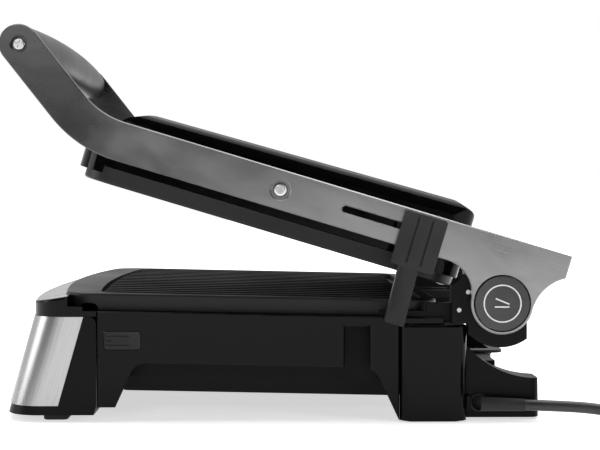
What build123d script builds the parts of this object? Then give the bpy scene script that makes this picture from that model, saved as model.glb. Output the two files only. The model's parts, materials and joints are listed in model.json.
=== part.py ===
from build123d import *
import os
from math import cos, pi, radians, sin, sqrt, tan

# Contact grill (panini press) that opens flat, in millimetres.
# +Z is up, the front faces -Y, and +X is the side that carries the height lock.
# The origin is on the worktop, under the middle of the machine, with the lid part open.

os.makedirs("parts", exist_ok=True)

# ---------------------------------------------------------------- driving dimensions
HINGE_Y = 147.0          # main hinge axis, behind the origin
HINGE_Z = 80.0           # main hinge axis, above the worktop
ARM_REST = 16.7          # the arms' pitch above the horizontal as stored
DECK_TILT = 1.23         # the cooking deck runs down to the rear by this angle

ARM_OUTER = 167.5        # outer face of each arm, from the middle plane
ARM_THICK = 6.0
ARM_INNER = ARM_OUTER - ARM_THICK
ARM_LOW = 17.0           # lower edge of the arm's straight run, above the hinge axis
ARM_HIGH = 43.0          # upper edge
ARM_HALF = (ARM_HIGH - ARM_LOW) / 2
ARM_MID = (ARM_HIGH + ARM_LOW) / 2
BEND_U = 294.0           # where the arm's centre line turns up, forward of the hinge
BEND_ANGLE = 35.2
BEND_R = 70.0            # centre line radius of the bend
HANDLE_RUN = 73.1        # from the bend's corner to the handle's centre
BOSS_R = 20.7            # hinge boss of the arm
BOSS_FILLET = 23.0
TAIL_U = -35.6           # rear end of the arm
TAIL_LOW = 27.9
TAIL_FOOT = (-20.6, 2.0)
TAIL_HOLLOW = (-24.8, 17.5)
PIVOT = (162.2, 29.9)    # the lid's pivot in an arm: forward of and above the hinge
SLOT_FRONT = 117.2       # centre of the lock slot's front end
SLOT_REAR = 57.0
SLOT_WIDTH = 4.4

PIN_R = 10.0             # hollow main hinge pin
PIN_BORE = 5.2
RUN_FIT = 0.06           # radial running clearance of a pin in its bore
BUTTON_R = 18.1          # release disc in the hinge boss
BUTTON_RECESS = 3.0
PIVOT_R = 4.0
PIVOT_HEAD = 4.8
PIVOT_RECESS_R = 6.6
HANDLE_RECESS_R = 5.2

GAP = 0.3                # air between faces of bodies that move past each other
PLATE_WIDTH = 296.0
PLATE_CORNER = 22.0
PLATE_FRONT = -304.0     # middle of the plates' bowed front edge, behind the hinge
PLATE_BOW = 14.0
LOWER_REAR = -39.5       # the plates' rear edges
UPPER_REAR = -31.0
PLATE_FACE = 0.3         # each plate's face, from the plane through the hinge axis
PLATE_THICK = 11.0
WELL_MARGIN = 10.0
WELL_DEPTH = 4.0
RIB_PITCH = 17.6
RIB_COUNT = 15
RIB_TIP = 3.4
RIB_ROOT = 7.4
RIB_FRONT = -273.0       # the ribs' front ends follow a flatter bow
RIB_BOW = 8.0
RIB_MARGIN = 8.0         # from the well's rear wall to the ribs' ends
SKIN = 3.0               # moulded wall

LID_HALF = 147.5
WALL_X = 158.0           # outer face of the base's side walls
COLUMN_X = 161.0         # outer face of the leg columns
COLUMN_FRONT = -67.0     # the columns' faces, behind the hinge
COLUMN_REAR = -22.0
TOWER_INNER = 149.5
TOWER_OUTER = 161.0
PAN_X = 137.5
FOOT_OUTER = 149.3       # outer face of the rear foot covers
FOOT_INNER = 125.5
FOOT_REAR = 27.5

FRONT_LEAN = 16.0        # the front panel leans forward at its foot
FRONT_LOW = 11.2
FRONT_HIGH = 70.6
FRONT_SIDE = -295.0      # rear edge of the panel's wrapped side, at its foot
FRONT_BOW_Y = -342.5     # middle of the bowed front, at the panel's foot
FRONT_BOW = 15.5
FRONT_CORNER_R = 24.0
PANEL_THICK = 1.4

CORD_R = 3.75
COIL_CENTRE = (223.8, 257.0)
COIL_R = 42.0            # at the middle of the turns
COIL_HALF = 9.6          # half the width of the wound ring
COIL_HIGH = 15.2

HINGE = Vector(0, HINGE_Y, HINGE_Z)


# ---------------------------------------------------------------- planes and helpers
def side(angle, x):
    """Upright plane at x: local x runs forward from the hinge, local y up, both pitched by angle."""
    a = radians(angle)
    return Plane(origin=(x, HINGE_Y, HINGE_Z), x_dir=(0, -cos(a), sin(a)), z_dir=(-1, 0, 0))


def level(angle, height):
    """Lying plane: local x is +X, local y runs rearward from the hinge, pitched by angle."""
    a = radians(angle)
    up = Vector(0, sin(a), cos(a))
    return Plane(origin=HINGE + up * height, x_dir=(1, 0, 0), z_dir=up)


def upright(x):
    """Unpitched upright plane: local x is +Y from the hinge, local y is the height on the worktop."""
    return Plane(origin=(x, HINGE_Y, 0), x_dir=(0, 1, 0), z_dir=(1, 0, 0))


def floor_plane(height):
    """Lying plane: local x is +X, local y is +Y from the hinge."""
    return Plane(origin=(0, HINGE_Y, height), x_dir=(1, 0, 0), z_dir=(0, 0, 1))


def bowed_plan(half, front, bow, rear, corner, rear_corner):
    """Plan with a straight rear edge and a bowed front; front is the bow's middle, bow its depth."""
    with BuildSketch(Plane.XY, mode=Mode.PRIVATE) as plan:
        with BuildLine():
            ThreePointArc((-half, front + bow), (0, front), (half, front + bow))
            Polyline((half, front + bow), (half, rear), (-half, rear), (-half, front + bow))
        make_face()
        fillet(plan.vertices().group_by(Axis.Y)[0], corner)
        fillet(plan.vertices().group_by(Axis.Y)[-1], rear_corner)
    return plan.sketch


def write(piece, name):
    piece.part.label = name
    export_step(piece.part, f"parts/{name}.step")


def write_pair(right, name):
    """Write a right-hand piece and its mirror image."""
    write(right, f"{name}_right")
    with BuildPart() as left:
        add(right.part.mirror(Plane.YZ))
    write(left, f"{name}_left")


def write_both(right, name):
    """Write a right-hand piece and its mirror image as one group of separate solids."""
    with BuildPart() as group:
        add(right.part)
        add(right.part.mirror(Plane.YZ))
    write(group, name)


# ---------------------------------------------------------------- arms
BEND = radians(BEND_ANGLE)
HANDLE = (BEND_U + HANDLE_RUN * cos(BEND), ARM_MID + HANDLE_RUN * sin(BEND))


def make_arm(slotted):
    corner = ARM_HALF * tan(BEND / 2)
    across = (ARM_HALF * sin(BEND), ARM_HALF * cos(BEND))
    with BuildPart() as arm:
        with BuildSketch(side(ARM_REST, ARM_OUTER)) as outline:
            with BuildLine():
                ThreePointArc((TAIL_U, TAIL_LOW), TAIL_HOLLOW, TAIL_FOOT)
                Polyline(
                    TAIL_FOOT,
                    (0, 0),
                    (0, ARM_LOW),
                    (BEND_U + corner, ARM_LOW),
                    (HANDLE[0] + across[0], HANDLE[1] - across[1]),
                    (HANDLE[0] - across[0], HANDLE[1] + across[1]),
                    (BEND_U - corner, ARM_HIGH),
                    (TAIL_U, ARM_HIGH),
                    (TAIL_U, TAIL_LOW),
                )
            make_face()
            Circle(BOSS_R)
            with Locations(HANDLE):
                Circle(ARM_HALF)
            throat = (sqrt(BOSS_R**2 - ARM_LOW**2), ARM_LOW)
            rounded = {
                throat: BOSS_FILLET,
                (BEND_U + corner, ARM_LOW): BEND_R + ARM_HALF,
                (BEND_U - corner, ARM_HIGH): BEND_R - ARM_HALF,
            }
            for place, radius in rounded.items():
                fillet(outline.vertices().sort_by_distance((*place, 0))[0], radius)
        extrude(amount=ARM_THICK)
        with BuildSketch(side(ARM_REST, ARM_OUTER)):
            Circle(BUTTON_R + GAP)
        extrude(amount=BUTTON_RECESS, mode=Mode.SUBTRACT)
        with BuildSketch(side(ARM_REST, ARM_OUTER)):
            with Locations(PIVOT):
                Circle(PIVOT_RECESS_R)
            with Locations(HANDLE):
                Circle(HANDLE_RECESS_R)
        extrude(amount=3.2, mode=Mode.SUBTRACT)
        with BuildSketch(side(ARM_REST, ARM_OUTER)):
            Circle(PIN_R + RUN_FIT)
            with Locations(PIVOT):
                Circle(PIVOT_R + RUN_FIT)
            with Locations(HANDLE):
                Circle(2.6)
            if slotted:
                with Locations(((SLOT_FRONT + SLOT_REAR) / 2, ARM_MID)):
                    SlotCenterToCenter(SLOT_FRONT - SLOT_REAR, SLOT_WIDTH)
        extrude(amount=ARM_THICK, mode=Mode.SUBTRACT)
        chamfer(arm.faces().sort_by(Axis.X)[-1].edges(), 0.7)
    return arm


arm_right = make_arm(slotted=True)
write(arm_right, "arm_right")

arm_left_hand = make_arm(slotted=False)
with BuildPart() as arm_left:
    add(arm_left_hand.part.mirror(Plane.YZ))
write(arm_left, "arm_left")


# ---------------------------------------------------------------- handle
HANDLE_R = 12.6
HANDLE_BELLY = 17.0      # its radius at mid length
BAR_END = ARM_INNER


def arm_point(u, w):
    """A point in the middle of the machine, u along the arms from the hinge and w above its level."""
    a = radians(ARM_REST)
    return HINGE + Vector(0, -u * cos(a) + w * sin(a), u * sin(a) + w * cos(a))


HANDLE_MIDDLE = arm_point(*HANDLE)
with BuildPart() as handle_grip:
    with BuildSketch(Plane(origin=HANDLE_MIDDLE, x_dir=(1, 0, 0), z_dir=(0, -1, 0))):
        with BuildLine():
            Polyline((-BAR_END, HANDLE_R), (-BAR_END, 0), (BAR_END, 0), (BAR_END, HANDLE_R))
            ThreePointArc((BAR_END, HANDLE_R), (0, HANDLE_BELLY), (-BAR_END, HANDLE_R))
        make_face()
    revolve(axis=Axis(HANDLE_MIDDLE, (1, 0, 0)))
    with BuildSketch(side(ARM_REST, BAR_END)):
        with Locations(HANDLE):
            Circle(5.0)
    extrude(amount=2 * BAR_END, mode=Mode.SUBTRACT)
write(handle_grip, "handle_grip")

with BuildPart() as handle_core:
    with BuildSketch(side(ARM_REST, BAR_END)):
        with Locations(HANDLE):
            Circle(4.9)
            Circle(2.4, mode=Mode.SUBTRACT)
    extrude(amount=2 * BAR_END)
write(handle_core, "handle_core_tube")

with BuildPart() as handle_screw:
    with BuildSketch(side(ARM_REST, ARM_OUTER - 1.0)):
        with Locations(HANDLE):
            Circle(4.0)
    extrude(amount=2.1)
    fillet(handle_screw.faces().sort_by(Axis.X)[-1].edges(), 0.9)
    with BuildSketch(side(ARM_REST, ARM_OUTER - 1.0)):
        with Locations(HANDLE):
            Rectangle(4.6, 1.0)
            Rectangle(1.0, 4.6)
    extrude(amount=1.3, mode=Mode.SUBTRACT)
    with BuildSketch(side(ARM_REST, ARM_OUTER - 3.0)):
        with Locations(HANDLE):
            Circle(2.3)
    extrude(amount=22)
write_both(handle_screw, "handle_screws")


# ---------------------------------------------------------------- main hinge
with BuildPart() as hinge_pin:
    with BuildSketch(side(0, ARM_OUTER - BUTTON_RECESS)):
        Circle(PIN_R)
        Circle(PIN_BORE, mode=Mode.SUBTRACT)
    extrude(amount=ARM_OUTER - BUTTON_RECESS - TOWER_INNER)
    with BuildSketch(side(0, TOWER_INNER + 2.5)):
        Circle(PIN_R)
    extrude(amount=2.5)
write_both(hinge_pin, "hinge_pins")

DISC_FACE = ARM_OUTER + 0.7
with BuildPart() as hinge_button:
    with BuildSketch(side(ARM_REST, DISC_FACE)):
        Circle(BUTTON_R)
    extrude(amount=2.2)
    fillet(hinge_button.faces().sort_by(Axis.X)[-1].edges(), 0.6)
    with BuildSketch(side(ARM_REST, DISC_FACE - 2.2)):
        Circle(PIN_BORE - GAP)
    extrude(amount=9)
write_pair(hinge_button, "hinge_release_button")

# Conical disc springs, stacked point to point inside each pin, push the release disc back out.
SPRING_SECTION = Plane(origin=HINGE, x_dir=(1, 0, 0), z_dir=(0, -1, 0))
SPRING_DISH = 0.7
SPRING_SHEET = 0.35
with BuildPart() as button_springs:
    for n in range(3):
        start = TOWER_INNER + 2.6 + n * (SPRING_DISH + SPRING_SHEET + 0.02)
        near, far = (4.6, 2.4) if n % 2 == 0 else (2.4, 4.6)
        with BuildSketch(SPRING_SECTION):
            with BuildLine():
                Polyline(
                    (start, near), (start + SPRING_SHEET, near),
                    (start + SPRING_DISH + SPRING_SHEET, far), (start + SPRING_DISH, far), close=True,
                )
            make_face()
        revolve(axis=Axis(HINGE, (1, 0, 0)))
write_both(button_springs, "hinge_button_springs")

BRACKET_SCREWS = ((-27.6, 75.0), (-21.6, 87.0))
with BuildPart() as hinge_bracket:
    with BuildSketch(upright(TOWER_INNER)) as cheek:
        with Locations((0, HINGE_Z)):
            Circle(30)
        with Locations((-2, HINGE_Z - 6)):
            Rectangle(39.6, 48, mode=Mode.INTERSECT)
        # Web that carries the load forward on to the leg column.
        with BuildLine():
            Polyline((-10, 66), (-32.6, 66), (-32.6, 92), (-25, 99), (-10, 99), close=True)
        make_face()
        with Locations((0, HINGE_Z)):
            Circle(PIN_R + 0.02, mode=Mode.SUBTRACT)
    extrude(amount=TOWER_OUTER - TOWER_INNER)
    fillet(hinge_bracket.faces().sort_by(Axis.X)[-1].outer_wire().edges(), 1.2)
    with BuildSketch(upright(TOWER_INNER)):
        with Locations((-49, 70.5)):
            Rectangle(62, 7)
        with Locations((-40.5, 75)):
            Rectangle(17, 9)
    extrude(amount=5.0)
    with BuildSketch(upright(TOWER_OUTER)):
        with Locations(*BRACKET_SCREWS):
            Circle(1.6)
    extrude(amount=-6, mode=Mode.SUBTRACT)
write_pair(hinge_bracket, "hinge_bracket")

with BuildPart() as bracket_screw:
    with BuildSketch(upright(TOWER_OUTER - 0.9)):
        with Locations(*BRACKET_SCREWS):
            Circle(1.5)
    extrude(amount=-5)
write_both(bracket_screw, "bracket_screws")


# ---------------------------------------------------------------- height lock on the right arm
LOCK_LOW = (50.3, 4.8)
LOCK_HIGH = (79.3, 41.3)
LOCK_FACE = 172.6
LOCK_BACK = ARM_OUTER + GAP
with BuildPart() as lock_slider:
    with BuildSketch(side(ARM_REST, LOCK_FACE)) as cap:
        with Locations(((LOCK_LOW[0] + LOCK_HIGH[0]) / 2, (LOCK_LOW[1] + LOCK_HIGH[1]) / 2)):
            RectangleRounded(LOCK_HIGH[0] - LOCK_LOW[0], LOCK_HIGH[1] - LOCK_LOW[1], 1.6)
    extrude(amount=LOCK_FACE - LOCK_BACK)
    fillet(lock_slider.faces().sort_by(Axis.X)[-1].edges(), 0.9)
    # Thumb ridges: two grooves leave a raised middle panel.
    with BuildSketch(side(ARM_REST, LOCK_FACE)):
        with Locations((60.0, 23.5), (69.6, 23.5)):
            SlotOverall(31, 1.3, rotation=90)
    extrude(amount=1.2, mode=Mode.SUBTRACT)
    with BuildSketch(side(ARM_REST, LOCK_FACE - 0.8)) as leg_profile:
        with BuildLine():
            Polyline((60.4, 8), (73.9, 8), (71.6, -33.5), (58.6, -33.5), close=True)
        make_face()
        fillet(leg_profile.vertices().group_by(Axis.Y)[0], 1.5)
    extrude(amount=LOCK_FACE - 0.8 - LOCK_BACK)
    with BuildSketch(side(ARM_REST, LOCK_BACK)) as hook_profile:
        with BuildLine():
            Polyline((60.7, 14.5), (73.6, 14.5), (71.6, -33.5), (58.6, -33.5), close=True)
        make_face()
        fillet(hook_profile.vertices().group_by(Axis.Y)[0], 1.5)
    extrude(amount=5.4)
    with BuildSketch(side(ARM_REST, LOCK_FACE - 0.8)):
        with Locations((69.8, -8)):
            Rectangle(1.2, 34, rotation=-3)
    extrude(amount=-0.7)
    # Neck through the arm's slot.
    with BuildSketch(side(ARM_REST, LOCK_BACK)):
        with Locations((68.0, ARM_MID)):
            SlotOverall(20, SLOT_WIDTH - 2 * GAP)
    extrude(amount=LOCK_BACK - ARM_INNER + GAP)
write(lock_slider, "lock_slider")

with BuildPart() as lock_keeper:
    with BuildSketch(side(ARM_REST, ARM_INNER - GAP)):
        with Locations((68.0, ARM_MID)):
            RectangleRounded(26, 17, 2)
    extrude(amount=2.4)
write(lock_keeper, "lock_keeper")


# ---------------------------------------------------------------- grill plates
def rib_corner(x, half_width):
    """How far a rib's rear end draws in to follow the plate's rounded corner."""
    beyond = min(max(0.0, abs(x) - (half_width - PLATE_CORNER)), PLATE_CORNER)
    return PLATE_CORNER - sqrt(PLATE_CORNER**2 - beyond**2)


def plate_plan(rear, inset):
    """A grill plate's plan, drawn in by inset; a negative inset is the room round the plate."""
    corner = PLATE_CORNER - inset
    return bowed_plan(PLATE_WIDTH / 2 - inset, PLATE_FRONT + inset, PLATE_BOW, rear - inset, corner, corner)


def make_plate(angle, face, into, rear):
    """A cast grill plate; into is +1 where its body lies above its cooking face, -1 where below."""
    half = PLATE_WIDTH / 2
    outline = plate_plan(rear, 0)
    pocket = plate_plan(rear, 4)
    well_corner = PLATE_CORNER - 6
    well = bowed_plan(half - WELL_MARGIN, RIB_FRONT - 4, RIB_BOW, rear - WELL_MARGIN, well_corner, well_corner)
    up = level(angle, 0).z_dir
    back = level(angle, 0).y_dir
    with BuildPart() as plate:
        with BuildSketch(level(angle, face)):
            add(outline)
        extrude(amount=into * PLATE_THICK)
        cooking_side = plate.faces().sort_by(Axis(HINGE, up))[-1 if into < 0 else 0]
        fillet(cooking_side.edges(), 1.6)
        with BuildSketch(level(angle, face)):
            add(well)
        extrude(amount=into * WELL_DEPTH, mode=Mode.SUBTRACT)
        with BuildSketch(level(angle, face + into * PLATE_THICK)):
            add(pocket)
        extrude(amount=-into * 3.4, mode=Mode.SUBTRACT)
        for n in range(RIB_COUNT):
            x = (n - (RIB_COUNT - 1) / 2) * RIB_PITCH
            front_end = RIB_FRONT + RIB_BOW * (x / half) ** 2
            rear_end = rear - WELL_MARGIN - RIB_MARGIN - rib_corner(x, half - WELL_MARGIN)
            start = level(angle, face).origin + back * front_end
            root = -into * (WELL_DEPTH + 0.4)
            with BuildSketch(Plane(origin=start, x_dir=(1, 0, 0), z_dir=back)):
                with BuildLine():
                    Polyline(
                        (x - RIB_TIP / 2, 0), (x + RIB_TIP / 2, 0),
                        (x + RIB_ROOT / 2, root), (x - RIB_ROOT / 2, root), close=True,
                    )
                make_face()
            extrude(amount=rear_end - front_end)
    return plate


plate_lower = make_plate(DECK_TILT, -PLATE_FACE, -1, LOWER_REAR)
with BuildPart() as lower_plate:
    add(plate_lower.part)
    # Finger recesses under the skirt near the front corners.
    with BuildSketch(side(DECK_TILT, PLATE_WIDTH / 2 + 1)):
        with Locations((275.5, -PLATE_FACE - PLATE_THICK)):
            SlotOverall(13, 9)
    extrude(amount=PLATE_WIDTH + 2, mode=Mode.SUBTRACT)
    # Drain spout at the rear.
    with BuildSketch(level(DECK_TILT, -3.0)):
        with Locations((0, -27.5)):
            Rectangle(30, 27)
    extrude(amount=-5.5)
    with BuildSketch(level(DECK_TILT, -3.0)):
        with Locations((0, -30.0)):
            Rectangle(24, 44)
    extrude(amount=-3.3, mode=Mode.SUBTRACT)
write(lower_plate, "lower_grill_plate")

upper_plate = make_plate(ARM_REST, PLATE_FACE, 1, UPPER_REAR)
write(upper_plate, "upper_grill_plate")


ELEMENT_FRONT, ELEMENT_REAR = -250.0, -62.0
ELEMENT_HALF = 104.0
REFLECTOR_FRONT, REFLECTOR_REAR = -257.0, -50.0


def make_element(angle, height):
    """Tubular heating element laid in two loops, with its ends at the rear."""
    half, front, rear = ELEMENT_HALF, ELEMENT_FRONT, ELEMENT_REAR
    with BuildPart() as element:
        with BuildLine(level(angle, height)) as run:
            FilletPolyline(
                (-22, rear), (-22, front + 46), (-60, front + 46), (-60, rear - 14),
                (-half, rear - 14), (-half, front), (half, front), (half, rear - 14),
                (60, rear - 14), (60, front + 46), (22, front + 46), (22, rear),
                radius=16,
            )
        with BuildSketch(Plane(origin=run.line @ 0, z_dir=run.line % 0)):
            Circle(3.3)
        sweep()
    return element


def make_reflector(angle, height, lift):
    """Shallow sheet tray behind a heating element, its rim turned towards the plate."""
    centre = (REFLECTOR_FRONT + REFLECTOR_REAR) / 2
    depth = REFLECTOR_REAR - REFLECTOR_FRONT
    with BuildPart() as tray:
        with BuildSketch(level(angle, height)):
            with Locations((0, centre)):
                RectangleRounded(262, depth, 14)
        extrude(amount=lift)
        with BuildSketch(level(angle, height + (0.8 if lift > 0 else -0.8))):
            with Locations((0, centre)):
                RectangleRounded(260.4, depth - 1.6, 13.2)
        extrude(amount=lift, mode=Mode.SUBTRACT)
    return tray


element_lower = make_element(DECK_TILT, -15.2)
write(element_lower, "lower_heating_element")
reflector_lower = make_reflector(DECK_TILT, -23.6, 8)
write(reflector_lower, "lower_reflector")
element_upper = make_element(ARM_REST, 15.2)
write(element_upper, "upper_heating_element")
reflector_upper = make_reflector(ARM_REST, 23.6, -8)
write(reflector_upper, "upper_reflector")


# ---------------------------------------------------------------- lid
LID_FRONT = 309.0        # middle of the bowed front, forward of the hinge
LID_REAR = 29.0
LID_LOW = 6.6            # lower edge of the housing's wall, above the hinge plane
LID_SKIRT = 11.8         # the housing's underside, just above the plate's back
LID_LIP = 17.0           # height of the upright front lip
LID_NOSE = (273.0, 47.5)
LID_TOP_FRONT = (259.0, 53.6)
LID_TOP_REAR = (46.0, 57.4)
LID_HEEL = (30.0, 52.0)
LID_EDGE_R = 10.0
RELEASE_LONG = 24.0
RELEASE_HIGH = 11.9


def lid_solid(inset):
    """The lid's outer form in side view and plan, drawn in by inset all round."""
    with BuildPart() as form:
        with BuildSketch(side(ARM_REST, LID_HALF - inset)) as profile:
            with BuildLine():
                Polyline(
                    (LID_FRONT - inset, LID_LOW),
                    (LID_FRONT - inset, LID_LIP),
                    (LID_NOSE[0] - inset, LID_NOSE[1] - inset * 0.6),
                    (LID_TOP_FRONT[0] - inset * 0.4, LID_TOP_FRONT[1] - inset),
                    (LID_TOP_REAR[0] + inset * 0.2, LID_TOP_REAR[1] - inset),
                    (LID_HEEL[0] + inset, LID_HEEL[1] - inset * 0.8),
                    (LID_REAR + inset, LID_LOW),
                    close=True,
                )
            make_face()
            rounded = {
                (LID_FRONT, LID_LIP): 9,
                LID_NOSE: 9,
                LID_TOP_FRONT: 22,
                LID_TOP_REAR: 14,
                LID_HEEL: 5,
            }
            for place, radius in rounded.items():
                fillet(profile.vertices().sort_by_distance((*place, 0))[0], radius)
        extrude(amount=2 * (LID_HALF - inset))
        with BuildSketch(level(ARM_REST, 0)):
            add(bowed_plan(LID_HALF - inset, inset - LID_FRONT, PLATE_BOW, -LID_REAR - inset, 26 - inset, 16 - inset))
        extrude(amount=70, mode=Mode.INTERSECT)
        # The long upper edges are rounded by a section drawn along the top's slope.
        forward = side(ARM_REST, 0).x_dir
        top_slope = (LID_TOP_REAR[1] - LID_TOP_FRONT[1]) / (LID_TOP_FRONT[0] - LID_TOP_REAR[0])
        with BuildSketch(Plane(origin=HINGE, x_dir=(1, 0, 0), z_dir=forward)) as section:
            with Locations((0, LID_TOP_REAR[1] + top_slope * LID_TOP_REAR[0] - inset - 50)):
                Rectangle(2 * (LID_HALF - inset), 100)
            fillet(section.vertices().group_by(Axis.Y)[-1], LID_EDGE_R - inset)
        along = forward - level(ARM_REST, 0).z_dir * top_slope
        extrude(amount=320, dir=tuple(along), mode=Mode.INTERSECT)
    return form


lid_outer = lid_solid(0)
lid_inner = lid_solid(SKIN)
with BuildPart() as lid_housing:
    add(lid_outer.part)
    add(lid_inner.part, mode=Mode.SUBTRACT)
    # The skirt is open below, over the plate.
    with BuildSketch(level(ARM_REST, 0)):
        add(plate_plan(UPPER_REAR, -0.3))
    extrude(amount=LID_SKIRT, mode=Mode.SUBTRACT)
    # Windows for the plate release buttons, behind the arms.
    with BuildSketch(side(ARM_REST, LID_HALF + 1)):
        with Locations((262, 30)):
            RectangleRounded(RELEASE_LONG + 0.8, RELEASE_HIGH + 0.8, 2)
        with Locations(PIVOT):
            Circle(PIVOT_R)
    extrude(amount=2 * LID_HALF + 2, mode=Mode.SUBTRACT)
write(lid_housing, "lid_housing")


# Pivot bosses bridge the gap between the lid and the arms.
with BuildPart() as pivot_boss:
    with BuildSketch(side(ARM_REST, ARM_INNER - GAP)):
        with Locations(PIVOT):
            Circle(9)
            Circle(PIVOT_R, mode=Mode.SUBTRACT)
    extrude(amount=ARM_INNER - GAP - LID_HALF)
    with BuildSketch(side(ARM_REST, LID_HALF - SKIN)):
        with Locations(PIVOT):
            Circle(9)
            Circle(PIVOT_R, mode=Mode.SUBTRACT)
    extrude(amount=12)
write_both(pivot_boss, "lid_pivot_bosses")

with BuildPart() as pivot_screw:
    with BuildSketch(side(ARM_REST, ARM_OUTER - 0.2)):
        with Locations(PIVOT):
            Circle(PIVOT_HEAD)
    extrude(amount=2.6)
    fillet(pivot_screw.faces().sort_by(Axis.X)[-1].edges(), 2.0)
    with BuildSketch(side(ARM_REST, ARM_OUTER - 0.2)):
        with Locations(PIVOT):
            RegularPolygon(1.7, 6)
    extrude(amount=1.5, mode=Mode.SUBTRACT)
    with BuildSketch(side(ARM_REST, ARM_OUTER - 2.8)):
        with Locations(PIVOT):
            Circle(PIVOT_R)
    extrude(amount=29)
write_both(pivot_screw, "lid_pivot_screws")

# A light torsion spring on each boss holds the lid against its level stop.
with BuildPart() as tilt_spring:
    for turn in range(3):
        with Locations(side(ARM_REST, LID_HALF + 2.0 + 2.0 * turn) * Location((*PIVOT, 0))):
            Torus(10.0, 0.85)
write_both(tilt_spring, "lid_tilt_springs")


def make_release(plane, place):
    """Plate release button: a grooved cap flush with the wall and a stem behind it."""
    with BuildPart() as button:
        with BuildSketch(plane):
            with Locations(place):
                RectangleRounded(RELEASE_LONG, RELEASE_HIGH, 1.8)
        extrude(amount=4.2)
        with BuildSketch(plane):
            with Locations(*((place[0] + 3, place[1] + 3.0 * n) for n in (-1, 0, 1))):
                SlotOverall(15.5, 1.1)
        extrude(amount=0.7, mode=Mode.SUBTRACT)
        with BuildSketch(plane):
            with Locations(place):
                Rectangle(14, 3.2)
        extrude(amount=13.2)
    return button


upper_release = make_release(side(ARM_REST, LID_HALF + 0.2), (262, 30))
write_pair(upper_release, "upper_plate_release")


# ---------------------------------------------------------------- base: glossy side walls and deck ring
WALL_FRONT = -269.2
RELEASE_PLACE = (-252.0, 54.8)
with BuildPart() as base_housing:
    with BuildSketch(upright(WALL_X - SKIN)) as wall:
        with BuildLine():
            Polyline(
                (-257, 10), (WALL_FRONT, 10), (WALL_FRONT, 74.5), (-37, 69.6), (-37, 65.2),
                (COLUMN_FRONT - 0.2, 65.2), (COLUMN_FRONT - 0.2, 0.6), (-83.8, 36.2), (-243.4, 39.7),
                close=True,
            )
        make_face()
        fillet(wall.vertices().sort_by_distance((-243.4, 39.7, 0))[0], 11)
        fillet(wall.vertices().sort_by_distance((-83.8, 36.2, 0))[0], 13)
        # Notch that takes the lock's leg with the grill closed.
        with Locations((-95.1, 47)):
            Rectangle(17.4, 34, mode=Mode.SUBTRACT)
        with Locations(RELEASE_PLACE):
            RectangleRounded(RELEASE_LONG + 0.8, RELEASE_HIGH + 0.8, 2, mode=Mode.SUBTRACT)
    extrude(amount=SKIN)
    chamfer(base_housing.faces().sort_by(Axis.X)[-1].outer_wire().edges(), 0.8)
    mirror(about=Plane.YZ)
    with BuildSketch(level(DECK_TILT, -14.4)):
        with Locations((0, -153)):
            Rectangle(2 * (WALL_X - 1), 230)
            RectangleRounded(272, 214, 16, mode=Mode.SUBTRACT)
        with Locations((WALL_X - 5, -62), (5 - WALL_X, -62)):
            Rectangle(8.4, 50, mode=Mode.SUBTRACT)
    extrude(amount=2.8)
write(base_housing, "base_housing")

lower_release = make_release(
    Plane(origin=(WALL_X + 0.2, HINGE_Y, 0), x_dir=(0, -1, 0), z_dir=(-1, 0, 0)),
    (-RELEASE_PLACE[0], RELEASE_PLACE[1]),
)
write_pair(lower_release, "lower_plate_release")


# ---------------------------------------------------------------- base: legs, pan and rear
with BuildPart() as leg_column:
    with BuildSketch(floor_plane(1.0)) as column_plan:
        with Locations(((COLUMN_X + 139) / 2, (COLUMN_FRONT + COLUMN_REAR) / 2)):
            Rectangle(COLUMN_X - 139, COLUMN_REAR - COLUMN_FRONT)
        fillet(column_plan.vertices().group_by(Axis.X)[-1], 7)
    extrude(amount=64)
    fillet(leg_column.faces().sort_by(Axis.Z)[-1].edges().sort_by(Axis.X)[-1], 1.5)
    offset(amount=-2.6, openings=leg_column.faces().sort_by(Axis.Z)[0])
write_pair(leg_column, "rear_leg_column")

with BuildPart() as foot_cover:
    with BuildSketch(upright(FOOT_INNER)) as cover_profile:
        with BuildLine():
            Polyline((FOOT_REAR, 28.0), (FOOT_REAR + 1, 1.5), (COLUMN_REAR, 1.5), (COLUMN_REAR, 51.5))
            ThreePointArc((COLUMN_REAR, 51.5), (-3.5, 36.0), (FOOT_REAR, 28.0))
        make_face()
    extrude(amount=FOOT_OUTER - FOOT_INNER)
    with BuildSketch(floor_plane(1.0)) as cover_plan:
        with Locations(((FOOT_INNER + FOOT_OUTER) / 2, (COLUMN_REAR + FOOT_REAR + 1) / 2)):
            Rectangle(FOOT_OUTER - FOOT_INNER, FOOT_REAR + 1 - COLUMN_REAR)
        fillet(cover_plan.vertices().group_by(Axis.Y)[-1], 6)
    extrude(amount=60, mode=Mode.INTERSECT)
    offset(amount=-2.4, openings=foot_cover.faces().sort_by(Axis.Z)[0])
write_pair(foot_cover, "rear_foot_cover")

with BuildPart() as foot_link:
    with BuildSketch(upright(FOOT_OUTER)):
        with Locations((-20.6, 12.5)):
            Rectangle(2.4, 9)
    extrude(amount=7)
write_both(foot_link, "foot_cover_clips")

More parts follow.
